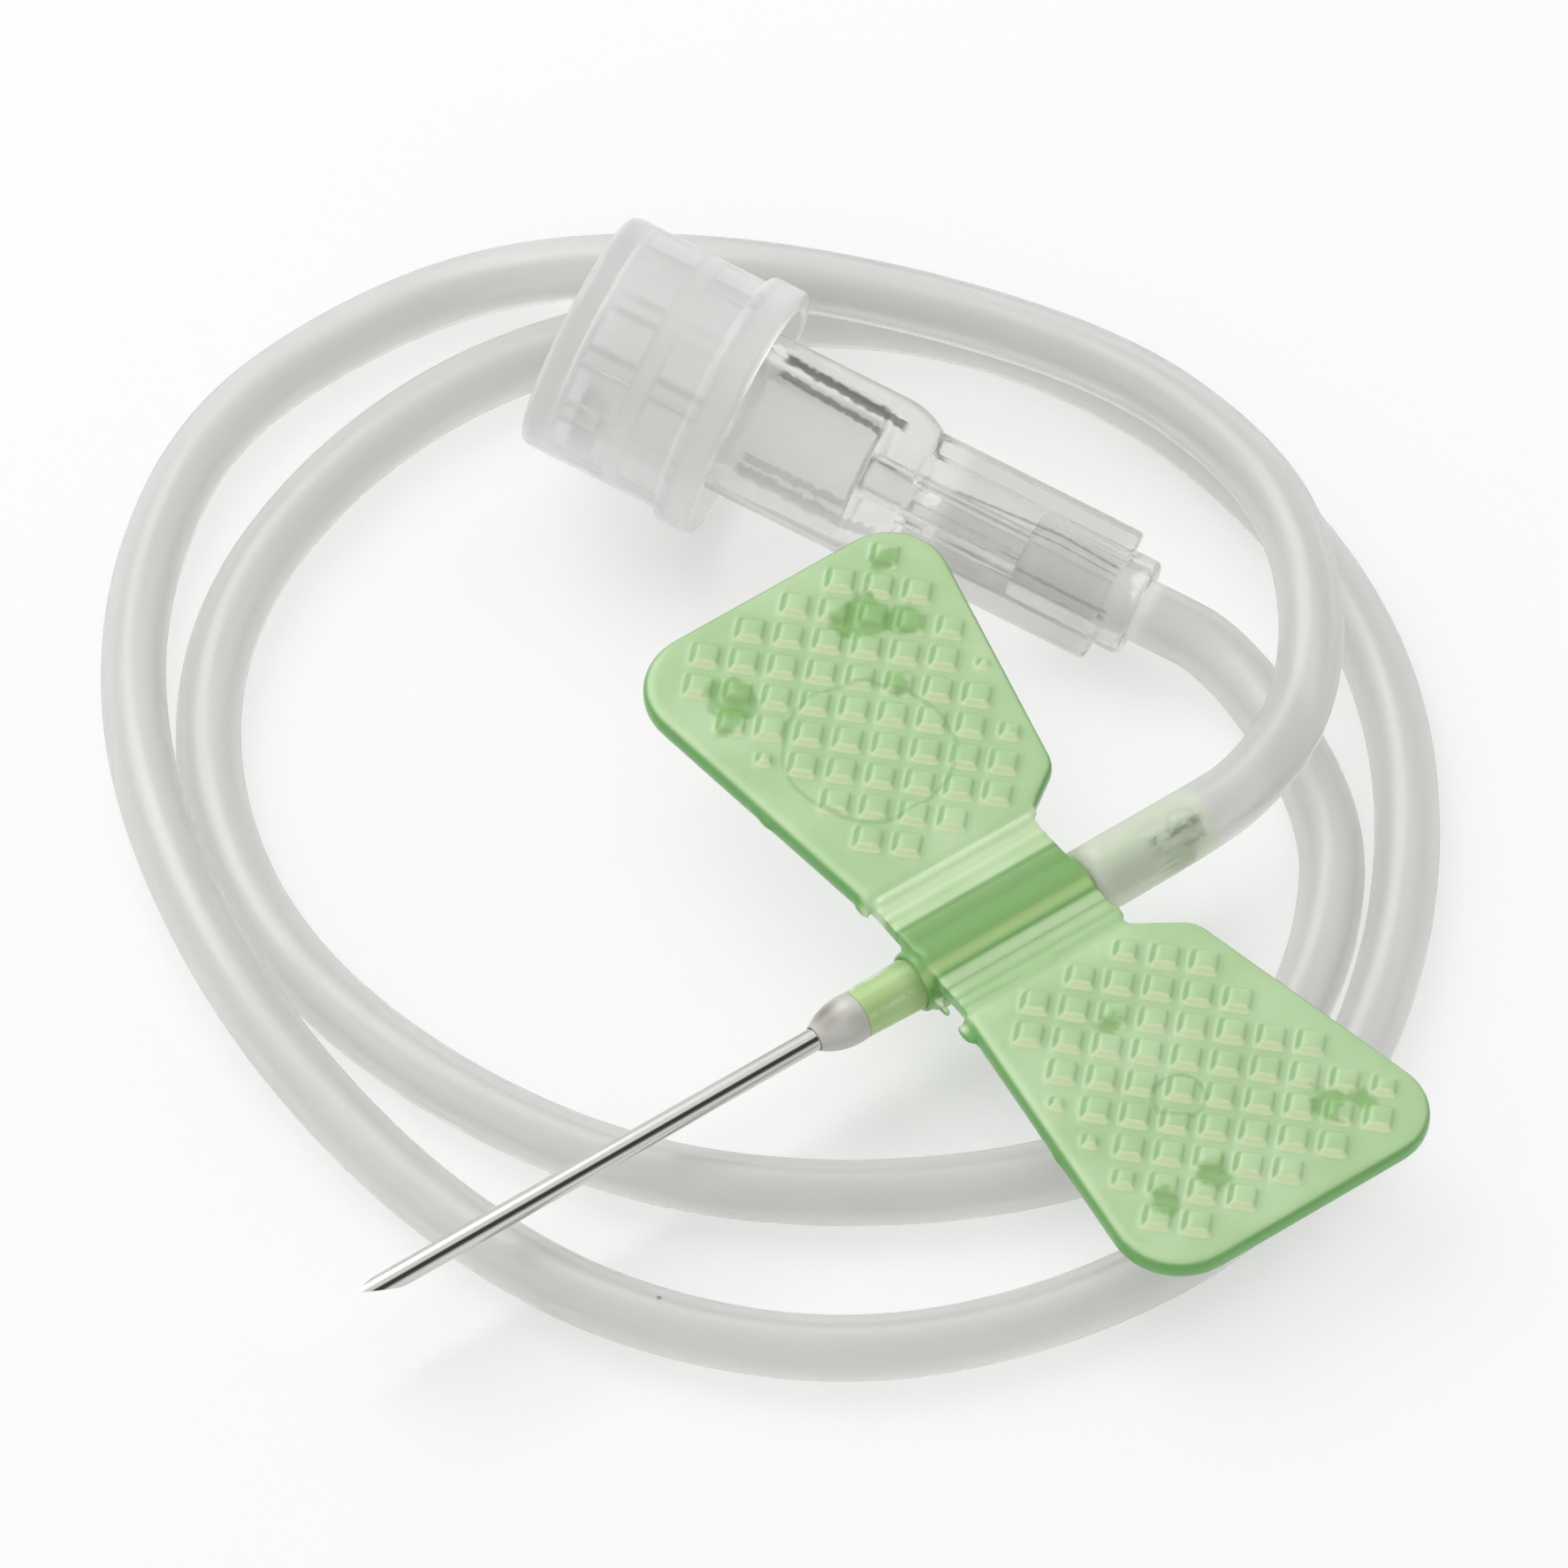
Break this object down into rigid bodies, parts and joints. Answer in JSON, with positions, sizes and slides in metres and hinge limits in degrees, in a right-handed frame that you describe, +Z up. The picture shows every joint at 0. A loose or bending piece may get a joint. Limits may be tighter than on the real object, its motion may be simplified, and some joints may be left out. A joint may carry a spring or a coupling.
{
  "type": "butterfly needle",
  "caption": "Winged infusion set: bevelled steel cannula in a green winged hub, coiled clear tubing and a capped female luer connector",
  "frame": {"origin": "On the surface that the set lies on, under the middle of the box of the hub, cannula, wings, connector and cap, without the tubing", "axes": "+Z up, with the textured wing faces up. The cannula points along -X. The two wings spread along +Y and -Y, rolled 2 degrees about X"},
  "size_m": [0.0482, 0.0539, 0.0107],
  "materials": {
    "steel": "polished stainless steel",
    "resin": "pearl grey, satin",
    "hub_plastic": "translucent green, glossy",
    "wing_plastic": "soft translucent green, satin",
    "tube_plastic": "soft, milky clear",
    "clear_plastic": "clear, glossy",
    "cap_plastic": "frosted, translucent"
  },
  "bodies": {
    "set": {"needle_cannula": "steel", "hub_nose": "resin", "needle_hub": "hub_plastic", "wing_plate": "wing_plastic", "tubing": "tube_plastic", "luer_connector": "clear_plastic"},
    "cap": {"luer_cap": "cap_plastic"}
  },
  "joints": [
    {"name": "cap_pull", "type": "slide", "parent": "set", "child": "cap", "axis": [-0.4774, 0.8577, 0.1908], "range_m": [0, 0.0075]}
  ]
}
